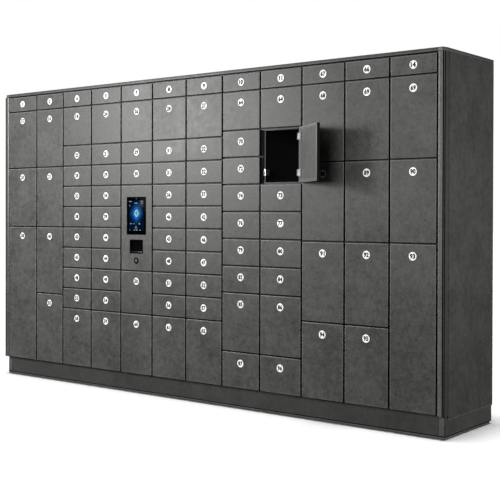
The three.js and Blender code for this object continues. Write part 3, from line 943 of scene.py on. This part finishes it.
def cap_plan(x0, x1, inset, z):
    """Plan outline of a cap section; the two outer sections lose their front corner."""
    a, b, c, d = x0 + inset, x1 - inset, cap_low.y + inset, cap_high.y - inset
    left = x0 - cap_low.x < 1e-6
    right = cap_high.x - x1 < 1e-6
    points = [(a, c + CUT_Y), (a + CUT_X, c)] if left else [(a, c + 0.0001), (a + 0.0001, c)]
    points += [(b - CUT_X, c), (b, c + CUT_Y)] if right else [(b - 0.0001, c), (b, c + 0.0001)]
    points += [(b, d), (a, d)]
    return [Vector((x, y, z)) for x, y in points]


for i in MODULES:
    x0 = section_lines[i - 1] + (SECTION_GAP if i > MODULES[0] else 0.0)
    x1 = section_lines[i] - (SECTION_GAP if i < MODULES[-1] else 0.0)
    rings = [cap_plan(x0, x1, inset, z) for inset, z, _ in CAP_PROFILE]
    bm = bmesh.new()
    faces = loft(bm, rings, [wear_and_highlight_level for *_, wear_and_highlight_level in CAP_PROFILE])
    for f in faces:
        if max(v.co.z for v in f.verts) < cap_low.z + JOINT_TOP:
            f.material_index = 1
    name = f"cap_section_{i}"
    cap = object_of(name, mesh_of(bm, name), [FRAME, GASKET], "cabinet")
    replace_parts(cap, "top_cap")

# the stiles' facing carried up across the cap, in their paints with the painted light and shade
for side, end in SIDES:
    strip(
        f"cap_facing_{end}",
        inward(side, side * cap_high.x, 0.0130, 0.0365),
        (cap_low.y - 0.0004, cap_low.y + 0.0020),
        (cap_low.z + 0.0020, cap_high.z - 0.0014),
        0.0006,
        0.001,
        LIT_AND_SHADED_STILES[end],
    )

# under a black strip, painted shade where the fascia meets the inset foot, a lighter foot strip: name,
# heights, how far it stands out, material
FOOT = (
    ("foot_shade_strip", (0.0140, 0.0195), 0.0006, GASKET),
    ("foot_strip", (0.0006, 0.0136), -0.0006, FRAME),
)
for side, end in SIDES:
    # bead along the side panel's lower edge, painted bright: a painted highlight of the lit ledge there
    strip(
        f"side_bead_{end}",
        inward(side, side * side_high.x, 0.0003, 0.0036),
        (side_low.y + 0.002, side_high.y - 0.0005),
        (side_low.z - 0.0030, side_low.z - 0.0002),
        0.0008,
        0.001,
        TRIM,
    )
    # foot strip and the black strip of painted shade, back along the side from the front corner
    for name, zs, out, material in FOOT:
        edge = side * base_high.x + side * out
        ys = (fascia_low.y - out, base_high.y - 0.024)
        xs = inward(side, edge, 0.0, 0.0052)
        strip(f"{name}_{end}", xs, ys, zs, 0.0006, 0.001, material)
for name, zs, out, material in FOOT:
    xs = (base_low.x + 0.0055, base_high.x - 0.0055)
    y = fascia_low.y - out
    strip(f"{name}_front", xs, (y, y + 0.0050), zs, 0.0006, 0.001, material)

# lighter end posts of the plinth, between two dark joints
POST_HEIGHTS = (0.0200, fascia_high.z - 0.0004)
for side, end in SIDES:
    outer = side * fascia_high.x
    y = fascia_low.y - 0.0008
    xs, ys = inward(side, outer, 0.0040, 0.0375), (y, y + 0.0020)
    strip(f"plinth_post_{end}", xs, ys, POST_HEIGHTS, 0.0006, 0.001, POST)
    xs, ys = inward(side, outer, 0.0001, 0.0036), (y + 0.0006, y + 0.0060)
    strip(f"plinth_corner_{end}", xs, ys, POST_HEIGHTS, 0.0004, 0.001, GASKET)

# folded inner edge of the open compartment's doorway, painted pale grey: a painted highlight
above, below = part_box("door_65"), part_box("door_73")
LIP_INSET, LIP_DEPTH = 0.0012, 0.0400
# rows of (inset, distance behind the lip's shoulder)
LIP_PROFILE = [
    (0.0, 0.004),
    (0.0, 0.0),
    (0.0008, -0.0006),
    (0.0088, -0.0006),
    (0.0094, 0.0),
    (0.0094, 0.004),
]
doorway = (
    above[0].x - HALF_GAP + LIP_INSET,
    above[1].x + HALF_GAP - LIP_INSET,
    below[1].z + HALF_GAP + LIP_INSET,
    above[0].z - HALF_GAP - LIP_INSET,
)
rings = [ring(*doorway, inset, 0.0012, FRONT + LIP_DEPTH + y) for inset, y in LIP_PROFILE]
bm = bmesh.new()
loft(bm, rings + rings[:1], caps=(False, False))
bmesh.ops.remove_doubles(bm, verts=bm.verts[:], dist=1e-6)
on_cabinet("doorway_lip_71", bm, LIP)

# back: each module's sheet is cut for sunk rivets, and one for air slots level with the service panel
SERVICE_MODULE = 3
RIVETS_DOWN = 9
SLOT_PITCH, SLOT_HEIGHT, SLOT_HALF_WIDTH = 0.020, 0.008, 0.095
# profiles as (radius, distance from the back's outer face)
RIVET_SEAT = [(0.0056, -0.0008), (0.0056, 0.001)]
RIVET_HEAD = [(0.0050, -0.0009), (0.0050, -0.0006), (0.0040, -0.0002), (0.0016, -0.0001)]
box_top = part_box("controller_box")[1].z
for i in MODULES:
    node = f"carcass_module_{i}"
    low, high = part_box(node)
    rise = high.z - low.z - 0.10
    heights = [low.z + 0.05 + k * rise / (RIVETS_DOWN - 1) for k in range(RIVETS_DOWN)]
    holes, rivets = bmesh.new(), bmesh.new()
    for x in (low.x + 0.012, high.x - 0.012):
        for z in heights:
            disc(holes, x, z, [(r, high.y + y) for r, y in RIVET_SEAT], 20)
            disc(rivets, x, z, [(r, high.y + y) for r, y in RIVET_HEAD], 20)
    if i == SERVICE_MODULE:
        z = box_top + 0.012
        while z + SLOT_HEIGHT < panel_high.z - 0.020:
            x0, x1 = panel_x - SLOT_HALF_WIDTH, panel_x + SLOT_HALF_WIDTH
            ys = (high.y - 0.004, high.y + 0.002)
            rounded_block(holes, x0, x1, *ys, z, z + SLOT_HEIGHT, 0.0002, 0.0038)
            z += SLOT_PITCH
    shell = cut(NODES[node].data.copy(), [mesh_of(holes, "holes")])
    shell.materials.clear()
    for f in shell.polygons:
        f.use_smooth = False
        f.material_index = 0
    module = object_of(f"carcass_shell_{i}", shell, [CARCASS], "cabinet")
    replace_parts(module, node)
    on_cabinet(f"back_rivets_{i}", rivets, ZINC)


# ---------------------------------------------------------------- stage, light and camera

def floor_material():
    m, tree, bsdf = new_material("studio_floor")
    white = mix(tree, noise(tree, 0.8, 2.0, 0.5), (0.93, 0.93, 0.93), (0.95, 0.95, 0.95))
    tree.links.new(white, bsdf.inputs["Base Color"])
    bsdf.inputs["Roughness"].default_value = 0.9
    bsdf.inputs["Specular IOR Level"].default_value = 0.0
    return m


bm = bmesh.new()
bmesh.ops.create_grid(bm, x_segments=2, y_segments=2, size=60.0)
floor = bpy.data.objects.new("studio_floor", mesh_of(bm, "floor"))
bpy.context.scene.collection.objects.link(floor)
floor.data.materials.append(floor_material())
floor.visible_diffuse = False
floor.visible_glossy = False

# a dim white sky lights the piece, and the camera sees a bright one
world = bpy.data.worlds.new("studio")
world.use_nodes = True
bpy.context.scene.world = world
tree = world.node_tree
tree.nodes.clear()
sky = tree.nodes.new("ShaderNodeBackground")
seen = tree.nodes.new("ShaderNodeBackground")
sky.inputs["Color"].default_value = (1.0, 1.0, 1.0, 1)
sky.inputs["Strength"].default_value = 0.06
seen.inputs["Color"].default_value = (1, 1, 1, 1)
seen.inputs["Strength"].default_value = 1.0
path = tree.nodes.new("ShaderNodeLightPath")
blend = tree.nodes.new("ShaderNodeMixShader")
end = tree.nodes.new("ShaderNodeOutputWorld")
tree.links.new(path.outputs["Is Camera Ray"], blend.inputs["Fac"])
tree.links.new(sky.outputs["Background"], blend.inputs[1])
tree.links.new(seen.outputs["Background"], blend.inputs[2])
tree.links.new(blend.outputs["Shader"], end.inputs["Surface"])


def aimed(name, data, at, aim):
    """A light at one point, looking at another."""
    o = bpy.data.objects.new(name, data)
    bpy.context.scene.collection.objects.link(o)
    o.location = at
    o.rotation_mode = "QUATERNION"
    o.rotation_quaternion = (Vector(aim) - Vector(at)).to_track_quat("-Z", "Y")
    return o


def softbox(name, at, aim, width, height, watts):
    data = bpy.data.lights.new(name, "AREA")
    data.shape = "RECTANGLE"
    data.size = width
    data.size_y = height
    data.energy = watts
    return aimed(name, data, at, aim)


softbox("key_high", (-2.75, -3.4, 2.4), (-0.69, -0.3, 1.2), 0.8, 0.7, 88)
softbox("key_low", (-2.85, -3.4, 1.6), (-0.70, -0.3, 1.2), 0.8, 0.7, 30)
softbox("key_right", (-1.4, -3.4, 1.6), (-0.35, -0.3, 1.2), 0.8, 0.7, 5)
softbox("near_top", (-0.4, -2.4, 3.0), (-0.3, 0.0, 1.6), 0.8, 0.8, 4)
softbox("front_fill", (1.5, -6.0, 2.2), (0.2, 0.0, 1.2), 3.0, 2.0, 136)
softbox("side_fill", (5.5, 1.5, 1.3), (1.8, 0.2, 1.1), 2.0, 2.0, 104)
softbox("left_fill", (-5.5, 1.2, 1.5), (-1.8, 0.1, 1.1), 2.0, 2.0, 140)
rear = softbox("rear_fill", (-0.5, 5.5, 3.0), (0.0, 0.3, 1.0), 4.0, 2.0, 420)
rear.visible_glossy = False  # it would burn out the cap's top when seen from in front

# the floor has lights of its own and leaves the others out, so it stays white round a short soft shadow
all_but_floor = bpy.data.collections.new("all_but_floor")
all_but_floor.objects.link(floor)
all_but_floor.collection_objects[0].light_linking.link_state = "EXCLUDE"
for o in bpy.context.scene.objects:
    if o.type == "LIGHT":
        o.light_linking.receiver_collection = all_but_floor
        o.visible_camera = False
floor_only = bpy.data.collections.new("floor_only")
floor_only.objects.link(floor)
for name, power, spread, at in (
    ("floor_sun", 2.9, 11, (-0.20, -0.45, 9.0)),
    ("floor_dome", 0.6, 150, (-0.8, -2.2, 9.0)),
):
    data = bpy.data.lights.new(name, "SUN")
    data.energy = power
    data.angle = math.radians(spread)
    lamp = aimed(name, data, at, (0.0, 0.0, 0.0))
    lamp.light_linking.receiver_collection = floor_only

# the camera fitted to the photo's edges
CAMERA_AT = (4.356, -5.167, 1.213)
camera_data = bpy.data.cameras.new("camera")
camera_data.sensor_width = 36.0
camera_data.lens = 72.58
camera_data.shift_y = -0.0559
camera_data.clip_end = 200.0
camera = bpy.data.objects.new("camera", camera_data)
bpy.context.scene.collection.objects.link(camera)
yaw, pitch, roll = math.radians(38.25), math.radians(0.453), 0.002486
ahead = Vector((-math.sin(yaw) * math.cos(pitch), math.cos(yaw) * math.cos(pitch), -math.sin(pitch)))
right = Vector((math.cos(yaw), math.sin(yaw), 0.0))
up = right.cross(ahead)
tilted = right * math.cos(roll) + up * math.sin(roll)
upright = up * math.cos(roll) - right * math.sin(roll)
turn = Matrix((tilted, upright, -ahead)).transposed().to_4x4()
camera.matrix_world = Matrix.Translation(CAMERA_AT) @ turn
bpy.context.scene.camera = camera
bpy.context.scene.view_settings.view_transform = "Standard"
bpy.context.scene.view_settings.look = "None"
